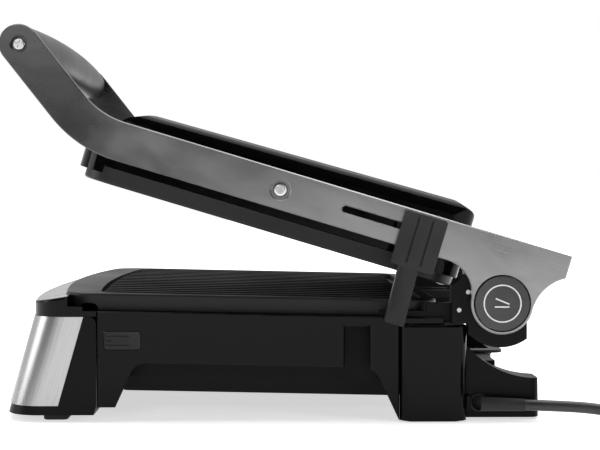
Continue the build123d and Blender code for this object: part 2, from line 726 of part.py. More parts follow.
PAN_TOP, PAN_STEP, PAN_FLOOR = -19.0, -57.0, -68.0
PAN_FRONT, PAN_REAR = -262.0, -46.0
with BuildPart() as bottom_pan:
    pan_centre = (0, (PAN_FRONT + PAN_REAR) / 2)
    for drawn_in, mode in ((0.0, Mode.ADD), (2.4, Mode.SUBTRACT)):
        with BuildSketch(level(DECK_TILT, PAN_STEP)):
            with Locations(pan_centre):
                RectangleRounded(2 * (PAN_X - drawn_in), PAN_REAR - PAN_FRONT - 2 * drawn_in, 12 - drawn_in)
        extrude(amount=PAN_TOP - PAN_STEP, mode=mode)
        with BuildSketch(level(DECK_TILT, PAN_STEP)):
            with Locations(pan_centre):
                RectangleRounded(
                    2 * (PAN_X - drawn_in) - 3, PAN_REAR - PAN_FRONT - 2 * drawn_in - 3, 11 - drawn_in
                )
        extrude(amount=PAN_FLOOR - PAN_STEP + drawn_in, taper=30, mode=mode)
    with BuildSketch(level(DECK_TILT, PAN_FLOOR)):
        with Locations(pan_centre):
            with GridLocations(200, 150, 2, 2):
                Circle(1.5)
    extrude(amount=6, mode=Mode.SUBTRACT)
write(bottom_pan, "bottom_pan")

with BuildPart() as pan_screw:
    with BuildSketch(level(DECK_TILT, PAN_FLOOR - 0.6)):
        with Locations(pan_centre):
            with GridLocations(200, 150, 2, 2):
                Circle(3.4)
    extrude(amount=0.6)
    with BuildSketch(level(DECK_TILT, PAN_FLOOR)):
        with Locations(pan_centre):
            with GridLocations(200, 150, 2, 2):
                Circle(1.5)
    extrude(amount=9)
write(pan_screw, "pan_screws")

with BuildPart() as rear_beam:
    with BuildSketch(upright(-FOOT_INNER + 1)) as beam_profile:
        with BuildLine():
            Polyline((-44, 40.5), (-24, 40.5), (-24, 57), (-30, 65.5), (-44, 65.5), close=True)
        make_face()
        fillet(beam_profile.vertices().group_by(Axis.X)[-1], 2.5)
    extrude(amount=2 * (FOOT_INNER - 1))
    with BuildSketch(floor_plane(40)):
        with Locations((0, -35)):
            Rectangle(2 * (FOOT_INNER - 4), 14)
    extrude(amount=24, mode=Mode.SUBTRACT)
write(rear_beam, "rear_crossbeam")

TRAY_X = 76.0
TRAY_TOP = 39.2
RAIL_LONG = 23.0
RAIL_MIDDLE = -9.5
with BuildPart() as drip_tray:
    with BuildSketch(floor_plane(15.5)):
        with Locations((0, -7)):
            RectangleRounded(2 * TRAY_X, 30, 6)
    extrude(amount=TRAY_TOP - 15.5)
    with BuildSketch(floor_plane(TRAY_TOP)):
        with Locations((0, -4)):
            RectangleRounded(2 * TRAY_X + 18, 37, 7)
    extrude(amount=-2.0)
    with BuildSketch(floor_plane(17.5)):
        with Locations((0, -7)):
            RectangleRounded(2 * TRAY_X - 4, 26, 4)
    extrude(amount=30, mode=Mode.SUBTRACT)
    with BuildSketch(floor_plane(TRAY_TOP - 2.0)):
        with Locations((0, 12.2)):
            RectangleRounded(70, 5.0, 2)
    extrude(amount=-7)
write(drip_tray, "drip_tray")

with BuildPart() as tray_rail:
    with BuildSketch(floor_plane(TRAY_TOP - 2.0 - GAP)):
        with Locations(((TRAY_X + 1.5 + FOOT_INNER) / 2, RAIL_MIDDLE)):
            Rectangle(FOOT_INNER - TRAY_X - 1.5, RAIL_LONG)
    extrude(amount=-1.8)
    with BuildSketch(floor_plane(TRAY_TOP - 2.0 - GAP)):
        with Locations((FOOT_INNER - 1.5, RAIL_MIDDLE)):
            Rectangle(3, RAIL_LONG)
    extrude(amount=-10)
write_both(tray_rail, "tray_rails")


# ---------------------------------------------------------------- front: frame, steel panel, bezel, controls
LEAN_SHIFT = tan(radians(FRONT_LEAN))


def front_plan(inset, rear):
    """Closed plan of the front module at the panel's foot: bowed front, rounded front corners."""
    half = WALL_X + 0.2 - inset
    front = FRONT_BOW_Y + inset
    with BuildSketch(Plane.XY, mode=Mode.PRIVATE) as plan:
        with BuildLine():
            ThreePointArc((-half, front + FRONT_BOW), (0, front), (half, front + FRONT_BOW))
            Polyline((half, front + FRONT_BOW), (half, rear), (-half, rear), (-half, front + FRONT_BOW))
        make_face()
        fillet(plan.vertices().group_by(Axis.Y)[0], FRONT_CORNER_R - inset)
    return plan.sketch


def lean(height):
    return Vector(0, LEAN_SHIFT, 1) * height


def leaning_prism(inset, rear, low, high, mode=Mode.ADD):
    """The front module's plan drawn up along its lean, between two heights on the worktop."""
    base = floor_plane(low).location * Location((0, LEAN_SHIFT * (low - FRONT_LOW), 0))
    run = lean(high - low)
    extrude(base * front_plan(inset, rear), amount=run.length, dir=tuple(run), mode=mode)


WINDOW_WIDTH = 96.0
WINDOW_HIGH = 25.0
CONTROL_Z = 44.0
KEY_R = 6.5
KEY_PLACES = (-98.0, -72.0, 72.0, 98.0)
CONTROL_PLANE = Plane(
    origin=(0, HINGE_Y + FRONT_BOW_Y + LEAN_SHIFT * (CONTROL_Z - FRONT_LOW) - 5, CONTROL_Z),
    x_dir=(1, 0, 0),
    z_dir=(0, -cos(radians(FRONT_LEAN)), sin(radians(FRONT_LEAN))),
)

with BuildPart() as front_panel:
    leaning_prism(0, FRONT_SIDE, FRONT_LOW, FRONT_HIGH)
    leaning_prism(PANEL_THICK, FRONT_SIDE + 3, FRONT_LOW - 2, FRONT_HIGH + 2, Mode.SUBTRACT)
    with BuildSketch(CONTROL_PLANE):
        RectangleRounded(WINDOW_WIDTH, WINDOW_HIGH, 5)
        for place in KEY_PLACES:
            with Locations((place, 0)):
                Circle(KEY_R + GAP)
    extrude(amount=-20, mode=Mode.SUBTRACT)
write(front_panel, "front_panel")

with BuildPart() as display_window:
    leaning_prism(0, FRONT_SIDE, FRONT_LOW, FRONT_HIGH)
    leaning_prism(PANEL_THICK, FRONT_SIDE + 3, FRONT_LOW - 2, FRONT_HIGH + 2, Mode.SUBTRACT)
    with BuildSketch(CONTROL_PLANE):
        RectangleRounded(WINDOW_WIDTH - 0.4, WINDOW_HIGH - 0.4, 4.8)
    extrude(amount=-20, mode=Mode.INTERSECT)
write(display_window, "display_window")

for number, place in enumerate(KEY_PLACES, 1):
    with BuildPart() as key:
        leaning_prism(-0.3, FRONT_SIDE, FRONT_LOW, FRONT_HIGH)
        leaning_prism(2.6, FRONT_SIDE + 3, FRONT_LOW - 2, FRONT_HIGH + 2, Mode.SUBTRACT)
        with BuildSketch(CONTROL_PLANE):
            with Locations((place, 0)):
                Circle(KEY_R)
        extrude(amount=-20, mode=Mode.INTERSECT)
    write(key, f"control_key_{number}")

CHEEK_REAR = -269.6
with BuildPart() as front_frame:
    leaning_prism(PANEL_THICK, FRONT_SIDE - 1, FRONT_LOW, FRONT_HIGH)
    with BuildSketch(upright(0.4 - WALL_X)) as cheek_profile:
        with BuildLine():
            shift = LEAN_SHIFT * (FRONT_HIGH - FRONT_LOW)
            Polyline(
                (CHEEK_REAR, FRONT_LOW), (CHEEK_REAR, FRONT_HIGH),
                (FRONT_SIDE + 0.1 + shift, FRONT_HIGH), (FRONT_SIDE + 0.1, FRONT_LOW), close=True,
            )
        make_face()
        fillet(cheek_profile.vertices().sort_by_distance((CHEEK_REAR, FRONT_HIGH, 0))[0], 5)
    extrude(amount=2 * WALL_X - 0.8)
    leaning_prism(1.0, CHEEK_REAR, 4.8, FRONT_LOW)
    leaning_prism(PANEL_THICK + SKIN, CHEEK_REAR + 30, 8.0, FRONT_HIGH - SKIN, Mode.SUBTRACT)
    # Apertures for the window's back and the keys.
    with BuildSketch(CONTROL_PLANE):
        Rectangle(WINDOW_WIDTH - 12, WINDOW_HIGH - 8)
        for place in KEY_PLACES:
            with Locations((place, 0)):
                Circle(KEY_R + 1.0)
    extrude(amount=-20, mode=Mode.SUBTRACT)
write(front_frame, "front_frame")

BEZEL_LOW = FRONT_HIGH + 0.3
BEZEL_STEP = -288.5      # where the bezel's top ends, beside the lower plate
with BuildPart() as front_bezel:
    with BuildSketch(floor_plane(BEZEL_LOW)):
        add(front_plan(0.2, CHEEK_REAR + 0.2).moved(Location((0, LEAN_SHIFT * (BEZEL_LOW - FRONT_LOW), 0))))
    extrude(amount=20)
    with BuildSketch(upright(-WALL_X - 1)) as bezel_profile:
        with BuildLine():
            ThreePointArc((-330, 78.2), (-309, 80.9), (BEZEL_STEP, 84.4))
            Polyline(
                (BEZEL_STEP, 84.4), (BEZEL_STEP, 77.6), (-278.5, 77.3), (-278.5, 74.4),
                (CHEEK_REAR + 0.2, 74.4), (CHEEK_REAR + 0.2, BEZEL_LOW), (-330, BEZEL_LOW), (-330, 78.2),
            )
        make_face()
    extrude(amount=2 * WALL_X + 2, mode=Mode.INTERSECT)
    bezel_top = front_bezel.faces().sort_by(Axis.Z)[-1]
    fillet(bezel_top.edges().filter_by(GeomType.LINE, reverse=True), 1.6)
    # Room for the lower plate and its bowed front edge.
    with BuildSketch(level(DECK_TILT, -PLATE_FACE - PLATE_THICK - 0.4)):
        add(plate_plan(LOWER_REAR, -0.5))
    extrude(amount=20, mode=Mode.SUBTRACT)
write(front_bezel, "front_bezel")

with BuildPart() as control_board:
    with BuildSketch(CONTROL_PLANE.offset(-22)):
        Rectangle(230, 38)
    extrude(amount=-1.6)
    with BuildSketch(CONTROL_PLANE.offset(-22)):
        with Locations(*((place, 0) for place in KEY_PLACES)):
            Rectangle(6, 6)
    extrude(amount=3.4)
write(control_board, "control_board")

with BuildPart() as front_foot:
    with BuildSketch(floor_plane(0)):
        with Locations((131, -298.5)):
            RectangleRounded(32, 17, 4)
    extrude(amount=4.8)
    chamfer(front_foot.faces().sort_by(Axis.Z)[0].edges(), 0.8)
write_both(front_foot, "front_feet")

with BuildPart() as rear_foot:
    with BuildSketch(floor_plane(0)):
        with Locations((150, -44.5)):
            RectangleRounded(15, 36, 4)
    extrude(amount=6)
write_both(rear_foot, "rear_feet")


# ---------------------------------------------------------------- inside the base
with BuildPart() as terminal_block:
    with BuildSketch(level(DECK_TILT, PAN_FLOOR + 2.4)):
        with Locations((54, -100)):
            Rectangle(46, 22)
    extrude(amount=14)
    with BuildSketch(level(DECK_TILT, PAN_FLOOR + 16.4)):
        with Locations((54, -100)):
            with GridLocations(14, 10, 3, 2):
                Circle(3)
    extrude(amount=-4, mode=Mode.SUBTRACT)
write(terminal_block, "terminal_block")

def make_thermostat(angle, height, lugs):
    """Snap-disc thermostat clamped to a plate's back, with two tabs at the height of its lugs."""
    with BuildPart() as thermostat:
        with BuildSketch(level(angle, height)):
            with Locations((0, -165)):
                Circle(8)
        extrude(amount=8.6)
        with BuildSketch(level(angle, lugs)):
            with Locations((-5, -165), (5, -165)):
                Rectangle(1, 5)
        extrude(amount=3.4)
    return thermostat


thermostat_lower = make_thermostat(DECK_TILT, -19.2, -22.6)
write(thermostat_lower, "lower_thermostat")
thermostat_upper = make_thermostat(ARM_REST, 10.6, 19.2)
write(thermostat_upper, "upper_thermostat")

with BuildPart() as relay:
    with BuildSketch(level(DECK_TILT, PAN_FLOOR + 2.4)):
        with Locations((-70, -110)):
            Rectangle(60, 40)
    extrude(amount=26)
    fillet(relay.edges().filter_by(Axis.X), 2)
write(relay, "power_relay")


# ---------------------------------------------------------------- mains lead
EXIT_Z = 11.8
EXIT_Y = HINGE_Y - 13.0
LEAD_X = 156.5
RELIEF_END = HINGE_Y + 17.0
RELIEF_R = 4.9
with BuildPart() as strain_relief:
    with BuildSketch(Plane(origin=(FOOT_OUTER, EXIT_Y, EXIT_Z), z_dir=(1, 0, 0))):
        Circle(RELIEF_R + 1.2)
    extrude(amount=2.0)
    with BuildSketch(Plane(origin=(FOOT_OUTER, EXIT_Y, EXIT_Z), z_dir=(1, 0, 0))):
        Circle(RELIEF_R - 0.2)
    extrude(amount=LEAD_X - FOOT_OUTER)
    with Locations((LEAD_X, EXIT_Y, EXIT_Z)):
        Sphere(RELIEF_R)
    with BuildSketch(Plane(origin=(LEAD_X, EXIT_Y, EXIT_Z), z_dir=(0, 1, 0))):
        Circle(RELIEF_R)
    with BuildSketch(Plane(origin=(LEAD_X, RELIEF_END, EXIT_Z - 0.8), z_dir=(0, 1, 0))):
        Circle(CORD_R + 0.4)
    loft()
write(strain_relief, "cord_strain_relief")

COIL_START = (180.0, 257.0, CORD_R + 0.1)
LEAD_POINTS = [
    (LEAD_X, RELIEF_END, EXIT_Z - 0.8),
    (157.2, 186.0, 10.3),
    (159.8, 208.0, 9.3),
    (166.2, 227.0, 6.9),
    (174.3, 241.5, 4.9),
    COIL_START,
]
TAIL_POINTS = [
    (223.8, 304.8, 10.9),
    (237.5, 306.0, 10.9),
    (251.0, 312.0, 10.9),
    (261.5, 322.0, 11.0),
]


def bend_radii(points):
    """For each corner of a route, an arc as large as its two runs allow."""
    radii = []
    for before, corner, after in zip(points, points[1:], points[2:]):
        arriving = Vector(*corner) - Vector(*before)
        leaving = Vector(*after) - Vector(*corner)
        turn = radians(arriving.get_angle(leaving))
        radii.append(0.45 * min(arriving.length, leaving.length) / tan(turn / 2))
    return radii


def make_lead(points, name):
    radii = bend_radii(points)
    with BuildPart() as lead:
        with BuildLine() as route:
            FilletPolyline(*points, radius=radii)
        with BuildSketch(Plane(origin=route.line @ 0, z_dir=route.line % 0)):
            Circle(CORD_R)
        sweep()
    write(lead, name)
    run = sum(edge.length for edge in route.edges())
    print(name, "bend radii", [round(r, 1) for r in radii])
    print(name, "length", round(run, 1), "fill", round(lead.part.volume / (pi * CORD_R**2 * run), 4))


make_lead(LEAD_POINTS, "cord_lead")
make_lead(TAIL_POINTS, "cord_tail")

with BuildPart() as cord_coil:
    with BuildSketch(Plane(origin=(*COIL_CENTRE, 0.1), x_dir=(1, 0, 0), z_dir=(0, -1, 0))):
        with Locations((COIL_R, COIL_HIGH / 2)):
            RectangleRounded(2 * COIL_HALF, COIL_HIGH, CORD_R)
    revolve(axis=Axis((*COIL_CENTRE, 0), (0, 0, 1)))
write(cord_coil, "cord_coil")

PLUG_AT = Vector(*TAIL_POINTS[-1])
PLUG_WAY = (PLUG_AT - Vector(*TAIL_POINTS[-2]))
PLUG_DIR = Vector(PLUG_WAY.X, PLUG_WAY.Y, 0).normalized()


def plug_plane(out):
    return Plane(origin=PLUG_AT + PLUG_DIR * out, x_dir=PLUG_DIR.cross(Vector(0, 0, 1)), z_dir=PLUG_DIR)


with BuildPart() as plug:
    with BuildSketch(plug_plane(0)):
        Circle(CORD_R + 0.7)
    with BuildSketch(plug_plane(16)):
        RectangleRounded(15, 13, 5)
    with BuildSketch(plug_plane(24)):
        RectangleRounded(25, 20, 6)
    with BuildSketch(plug_plane(46)):
        RectangleRounded(27, 21.5, 5)
    loft(ruled=True)
write(plug, "plug_body")

with BuildPart() as plug_pins:
    with BuildSketch(plug_plane(46)):
        with Locations((-6.3, 3), (6.3, 3)):
            Rectangle(1.6, 6.4)
        with Locations((0, -5.5)):
            Circle(2.4)
    extrude(amount=17)
write(plug_pins, "plug_pins")
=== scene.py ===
import json
import math

import bmesh
import bpy
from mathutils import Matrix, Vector


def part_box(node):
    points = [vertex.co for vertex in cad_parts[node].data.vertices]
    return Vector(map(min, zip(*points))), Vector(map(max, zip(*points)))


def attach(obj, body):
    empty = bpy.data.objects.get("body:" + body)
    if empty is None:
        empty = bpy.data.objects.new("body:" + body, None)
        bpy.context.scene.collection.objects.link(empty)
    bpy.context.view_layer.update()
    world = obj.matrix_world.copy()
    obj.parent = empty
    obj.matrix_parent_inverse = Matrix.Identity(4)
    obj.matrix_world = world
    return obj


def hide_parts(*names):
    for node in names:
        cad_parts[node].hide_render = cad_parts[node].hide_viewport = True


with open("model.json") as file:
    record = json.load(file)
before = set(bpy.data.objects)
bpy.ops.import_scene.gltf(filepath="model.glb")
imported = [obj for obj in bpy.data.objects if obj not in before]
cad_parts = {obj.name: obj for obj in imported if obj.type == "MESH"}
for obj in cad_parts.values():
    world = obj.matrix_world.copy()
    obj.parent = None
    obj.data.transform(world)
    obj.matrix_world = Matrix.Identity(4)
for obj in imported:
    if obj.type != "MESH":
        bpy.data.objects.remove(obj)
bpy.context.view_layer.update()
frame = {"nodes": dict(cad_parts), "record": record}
nodes = frame["nodes"]

# Driving dimensions, in metres, in the part's own frame: +Z up, the front towards -Y.
HINGE = Vector((0.0, 0.147, 0.080))      # the arm hinge's axis runs along X through here
ARM_REST = math.radians(16.7)            # the arms' tilt at rest
CORD_DIAMETER = 0.0075
COIL_CENTRE = Vector((0.2238, 0.257, 0.0))
POINTS_PER_TURN = 20
RING_RADIUS = 0.0122                     # the ring printed on each hinge disc
INK_HALF_WIDTH = 0.00045
INK_ABOVE, INK_BELOW = 0.00012, 0.00005  # how far the ink stands out of the disc and reaches into it


# ---------------------------------------------------------------- camera
def make_camera():
    data = bpy.data.cameras.new("camera")
    data.lens = 78.5
    data.sensor_width = 36.0
    camera = bpy.data.objects.new("camera", data)
    bpy.context.scene.collection.objects.link(camera)
    camera.location = (1.0285, 0.0, 0.1537)
    view = Vector((-1.0, 0.0153, -0.0252))
    camera.rotation_euler = view.to_track_quat("-Z", "Y").to_euler()
    bpy.context.scene.camera = camera


# ---------------------------------------------------------------- node-tree helper
class Shader:
    """One Principled surface. Its textures are in the object's own metres, so they ride with the part."""

    def __init__(self, name, colour, roughness, metallic=0.0, **sockets):
        self.material = bpy.data.materials.new(name)
        self.material.use_nodes = True
        self.tree = self.material.node_tree
        self.surface = self.tree.nodes["Principled BSDF"]
        self.set("Base Color", (*colour, 1.0))
        self.set("Roughness", roughness)
        self.set("Metallic", metallic)
        for socket, value in sockets.items():
            self.set(socket.replace("_", " "), value)
        self.place = self.node("ShaderNodeTexCoord").outputs["Object"]
        self.material.diffuse_color = (*colour, 1.0)

    def set(self, socket, value):
        self.surface.inputs[socket].default_value = value

    def node(self, kind, **settings):
        made = self.tree.nodes.new(kind)
        for key, value in settings.items():
            setattr(made, key, value)
        return made

    def link(self, source, target):
        self.tree.links.new(source, target)

    def mapped(self, stretch=(1, 1, 1), turn=(0, 0, 0), shift=(0, 0, 0)):
        """The object's coordinates, turned and then stretched."""
        turned = self.node("ShaderNodeMapping", vector_type="TEXTURE")
        turned.inputs["Location"].default_value = shift
        turned.inputs["Rotation"].default_value = turn
        self.link(self.place, turned.inputs["Vector"])
        scaled = self.node("ShaderNodeMapping")
        scaled.inputs["Scale"].default_value = stretch
        self.link(turned.outputs["Vector"], scaled.inputs["Vector"])
        return scaled.outputs["Vector"]

    def noise(self, scale, detail=4.0, rough=0.55, twist=0.0, **mapping):
        texture = self.node("ShaderNodeTexNoise")
        texture.inputs["Scale"].default_value = scale
        texture.inputs["Detail"].default_value = detail
        texture.inputs["Roughness"].default_value = rough
        texture.inputs["Distortion"].default_value = twist
        self.link(self.mapped(**mapping), texture.inputs["Vector"])
        return texture.outputs["Fac"]

    def axis(self, number):
        """One of the object's own coordinates, in metres."""
        split = self.node("ShaderNodeSeparateXYZ")
        self.link(self.place, split.inputs["Vector"])
        return split.outputs[number]

    def cells(self, scale, **mapping):
        texture = self.node("ShaderNodeTexVoronoi")
        texture.inputs["Scale"].default_value = scale
        self.link(self.mapped(**mapping), texture.inputs["Vector"])
        return texture.outputs["Distance"]

    def spread(self, value, low, high, to_low=0.0, to_high=1.0):
        """Maps low..high of a value to to_low..to_high, held at the ends."""
        ranged = self.node("ShaderNodeMapRange")
        for socket, number in zip(("From Min", "From Max", "To Min", "To Max"), (low, high, to_low, to_high)):
            ranged.inputs[socket].default_value = number
        self.link(value, ranged.inputs["Value"])
        return ranged.outputs["Result"]

    def combine(self, operation, first, second):
        maths = self.node("ShaderNodeMath", operation=operation)
        for socket, value in zip(maths.inputs, (first, second)):
            if isinstance(value, (int, float)):
                socket.default_value = value
            else:
                self.link(value, socket)
        return maths.outputs["Value"]

    def weighted(self, first, share, second, other_share):
        """The sum of two values, each times its share."""
        return self.combine(
            "ADD", self.combine("MULTIPLY", first, share), self.combine("MULTIPLY", second, other_share)
        )

    def tint(self, value, dark, light):
        """Base colour running from dark to light with a value."""
        mix = self.node("ShaderNodeMix", data_type="RGBA")
        self.link(value, mix.inputs["Factor"])
        mix.inputs[6].default_value = (*dark, 1.0)
        mix.inputs[7].default_value = (*light, 1.0)
        self.link(mix.outputs[2], self.surface.inputs["Base Color"])
        return mix.outputs[2]

    def gloss(self, value, low, high):
        self.link(self.spread(value, 0.25, 0.75, low, high), self.surface.inputs["Roughness"])

    def bump(self, height, distance, strength=1.0):
        """Adds relief, in metres of height; calls add up."""
        relief = self.node("ShaderNodeBump")
        relief.inputs["Distance"].default_value = distance
        relief.inputs["Strength"].default_value = strength
        self.link(height, relief.inputs["Height"])
        before = self.surface.inputs["Normal"]
        if before.is_linked:
            self.link(before.links[0].from_socket, relief.inputs["Normal"])
        self.link(relief.outputs["Normal"], before)


def grey(level):
    return (level, level, level)


# ---------------------------------------------------------------- materials
def arm_metal():
    """Cast aluminium, hand polished: soft wavy reflections, partly from relief and partly painted into the
    base colour as light and dark blotches, a faint grain along the arm, a few scuffs.
    """
    along = {"turn": (-ARM_REST, 0, 0), "shift": tuple(HINGE)}
    shader = Shader("polished_aluminium", grey(0.3), 0.3, 1.0)
    cloud = shader.noise(15, 3, 0.5, 0.3, stretch=(1, 0.8, 1.3), **along)
    ripple = shader.noise(48, 4, 0.55, stretch=(1, 0.45, 1.4), **along)
    grain = shader.noise(140, 3, 0.6, stretch=(1, 0.12, 9), **along)
    pits = shader.spread(shader.cells(170), 0.0, 0.09, 1, 0)
    # Painted reflection: the two broad noises lighten and darken the base colour in soft blotches; the pits
    # add scuff specks on top.
    painted_reflection_blotch = shader.weighted(cloud, 0.85, ripple, 0.15)
    painted_reflection_and_pits = shader.combine("ADD", painted_reflection_blotch, shader.combine("MULTIPLY", pits, 0.1))
    # Painted reflection: the base colour runs darker from the hinge to the forward end, standing in for the
    # dark side of the room that the forward end reflects.
    painted_reflection_falloff = shader.spread(shader.axis(1), -0.16, 0.06, -0.5, 0.15)
    shader.tint(shader.spread(shader.combine("ADD", painted_reflection_and_pits, painted_reflection_falloff), 0.05, 0.72), grey(0.075), grey(0.29))
    hand_finish = shader.spread(cloud, 0.35, 0.65, 0.24, 0.34)
    worn = shader.combine("ADD", hand_finish, shader.combine("MULTIPLY", pits, 0.06))
    shader.link(worn, shader.surface.inputs["Roughness"])
    shader.bump(cloud, 0.0005)
    shader.bump(ripple, 0.00003)
    shader.bump(grain, 0.00003)
    return shader.material


def gloss_plastic():
    """High-gloss black ABS with faint sink waves and handling marks."""
    shader = Shader("gloss_black", grey(0.004), 0.08, Specular_IOR_Level=0.1)
    wave = shader.noise(9, 2, 0.4)
    smear = shader.noise(35, 5, 0.65, 0.8, stretch=(1, 1, 2.5))
    shader.gloss(smear, 0.05, 0.15)
    shader.tint(shader.spread(smear, 0.3, 0.8), grey(0.0015), grey(0.003))
    shader.bump(wave, 0.0006)
    return shader.material


def matte_plastic(name="matte_black", level=0.004, low=0.32, high=0.46, relief=0.00003):
    """Moulded polymer with a spark-eroded grain."""
    shader = Shader(name, grey(level), 0.45, Specular_IOR_Level=0.1)
    grain = shader.noise(1800, 3, 0.6)
    patch = shader.noise(22, 3)
    shader.tint(shader.spread(patch, 0.3, 0.7), grey(level * 0.75), grey(level * 1.3))
    shader.gloss(patch, low, high)
    shader.bump(grain, relief)
    return shader.material


def brushed_steel():
    """Stainless sheet brushed up and down."""
    shader = Shader("steel", grey(0.62), 0.26, 1.0, Anisotropic=0.4)
    streak = shader.noise(90, 4, 0.7, stretch=(12, 12, 0.12), turn=(-0.279, 0, 0))
    patch = shader.noise(8, 3)
    shader.tint(shader.spread(streak, 0.2, 0.8), (0.33, 0.33, 0.335), (0.44, 0.44, 0.445))
    shader.gloss(shader.combine("MULTIPLY", shader.combine("ADD", streak, patch), 0.5), 0.22, 0.32)
    shader.bump(streak, 0.00001)
    return shader.material


def disc_metal():
    """Dark satin disc with fine turned rings round the hinge axis."""
    shader = Shader("disc", grey(0.05), 0.34, 0.35)
    flat = shader.mapped(shift=tuple(HINGE), stretch=(0, 1, 1))
    distance = shader.node("ShaderNodeVectorMath", operation="LENGTH")
    shader.link(flat, distance.inputs[0])
    wave = shader.combine("SINE", shader.combine("MULTIPLY", distance.outputs["Value"], 9000.0), 0.0)
    patch = shader.noise(40, 4)
    shader.tint(shader.spread(patch, 0.3, 0.7), grey(0.035), grey(0.06))
    shader.gloss(patch, 0.28, 0.42)
    shader.bump(shader.spread(wave, -1, 1), 0.000015)
    return shader.material


def nonstick_coat(name="nonstick", level=0.012):
    """Sprayed ceramic-filled coating over cast aluminium: fine pebble and mineral flecks."""
    shader = Shader(name, grey(level), 0.38, Specular_IOR_Level=0.22)
    pebble = shader.noise(700, 4, 0.6)
    fleck = shader.spread(shader.cells(900), 0.0, 0.16, 1, 0)
    patch = shader.noise(12, 3)
    value = shader.weighted(fleck, 0.35, patch, 0.6)
    shader.tint(value, grey(level * 0.7), grey(level * 2.2))
    shader.gloss(patch, 0.34, 0.48)
    shader.bump(pebble, 0.00006)
    return shader.material


def handle_skin():
    """Soft-touch grip with a fine leather-like grain."""
    shader = Shader("handle", grey(0.012), 0.36, Specular_IOR_Level=0.3)
    grain = shader.noise(900, 4, 0.7)
    wear = shader.noise(30, 4)
    shader.tint(shader.spread(wear, 0.3, 0.75), grey(0.012), grey(0.026))
    shader.gloss(wear, 0.32, 0.46)
    shader.bump(grain, 0.00005)
    return shader.material


def rubber_skin(name="rubber", level=0.008):
    shader = Shader(name, grey(level), 0.7)
    grain = shader.noise(1200, 4, 0.7)
    dust = shader.noise(45, 5, 0.7)
    shader.tint(shader.spread(dust, 0.45, 0.8), grey(level), grey(level * 2.4))
    shader.gloss(dust, 0.6, 0.8)
    shader.bump(grain, 0.00008)
    return shader.material


def cord_skin(name="cord", level=0.02):
    """PVC sheath, slightly satin, with faint extrusion streaks and dust."""
    shader = Shader(name, grey(level), 0.42)
    streak = shader.noise(500, 3, 0.6)
    dust = shader.noise(60, 5, 0.7)
    shader.tint(shader.spread(dust, 0.35, 0.8), grey(level * 0.8), grey(level * 1.8))
    shader.gloss(dust, 0.36, 0.52)
    shader.bump(streak, 0.00007)
    return shader.material


def window_glass():
    """Smoked acrylic over the display."""
    shader = Shader("window", grey(0.004), 0.04, Coat_Weight=0.6, Coat_Roughness=0.02)
    smear = shader.noise(40, 5, 0.6, 1.0)
    shader.gloss(smear, 0.03, 0.09)
    shader.bump(shader.noise(6, 2), 0.0002)
    return shader.material


def plated(name, dark, light, low, high, scale=140):
    """Plated or tumbled metal for screws, pins and springs."""
    shader = Shader(name, light, high, 1.0)
    cloud = shader.noise(scale, 4, 0.6)
    fine = shader.noise(scale * 9, 3, 0.6)
    shader.tint(shader.spread(cloud, 0.3, 0.7), dark, light)
    shader.gloss(cloud, low, high)
    shader.bump(fine, 0.00003)
    return shader.material


def ceramic():
    """Off-white glazed and moulded electrical insulation."""
    shader = Shader("electrics", (0.68, 0.66, 0.6), 0.4)
    stain = shader.noise(70, 5, 0.6)
    shader.tint(shader.spread(stain, 0.35, 0.8), (0.55, 0.53, 0.48), (0.74, 0.73, 0.69))
    shader.gloss(stain, 0.3, 0.5)
    shader.bump(shader.noise(500, 3), 0.00004)
    return shader.material


def circuit_board():
    """Green solder mask over copper tracks."""
    shader = Shader("board", (0.02, 0.12, 0.05), 0.3)
    track = shader.spread(shader.cells(160, stretch=(1, 1, 3)), 0.42, 0.5)
    shader.tint(track, (0.012, 0.09, 0.035), (0.05, 0.2, 0.08))
    shader.gloss(shader.noise(90), 0.22, 0.4)
    shader.bump(track, 0.00004)
    return shader.material


def white_ink():
    """Pad-printed ink."""
    shader = Shader("print_white", grey(0.75), 0.45)
    blot = shader.noise(900, 4, 0.6)
    shader.tint(shader.spread(blot, 0.3, 0.7), grey(0.6), grey(0.82))
    shader.bump(blot, 0.00002)
    return shader.material


MATERIALS = {
    "polished_aluminium": arm_metal(),
    "gloss_black": gloss_plastic(),
    "steel": brushed_steel(),
    "matte_black": matte_plastic(),
    "lock_grey": matte_plastic("lock_grey", 0.028, 0.3, 0.42, 0.00004),
    "handle": handle_skin(),
    "disc": disc_metal(),
    "nonstick": nonstick_coat(),
    "window": window_glass(),
    "keys": matte_plastic("keys", 0.01, 0.25, 0.35, 0.00002),
    "tray": nonstick_coat("tray", 0.016),
    "rubber": rubber_skin(),
    "cord": cord_skin(),
    "plug": cord_skin("plug", 0.022),
    "brass": plated("brass", (0.55, 0.42, 0.2), (0.8, 0.64, 0.34), 0.2, 0.34),
    "fastener": plated("fastener", grey(0.38), grey(0.66), 0.22, 0.4),
    "mechanism": plated("mechanism", grey(0.3), grey(0.55), 0.25, 0.42),
    "element": plated("element", (0.14, 0.12, 0.1), (0.32, 0.29, 0.26), 0.35, 0.55),
    "reflector": plated("reflector", grey(0.6), grey(0.8), 0.25, 0.4, 30),
    "electrics": ceramic(),
    "board": circuit_board(),
    "print": white_ink(),
}


def dress_nodes():
    """Gives every CAD node the material of its slot in the record."""
    slots = {part["node"]: part["material_slot"] for part in frame["record"]["subparts"]}
    for name, node in nodes.items():
        slot = slots[name]
        node.data.materials.clear()
        node.data.materials.append(MATERIALS[slot])


# ---------------------------------------------------------------- mesh helpers
def add_mesh(name, build, material, body):
    """Makes a mesh object from a bmesh-filling function, dresses it and lets it ride on a CAD body."""
    mesh = bpy.data.meshes.new(name)
    shape = bmesh.new()
    build(shape)
    bmesh.ops.recalc_face_normals(shape, faces=shape.faces)
    shape.to_mesh(mesh)
    shape.free()
    for face in mesh.polygons:
        face.use_smooth = True
    mesh.materials.append(MATERIALS[material])
    piece = bpy.data.objects.new(name, mesh)
    bpy.context.scene.collection.objects.link(piece)
    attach(piece, body)
    return piece


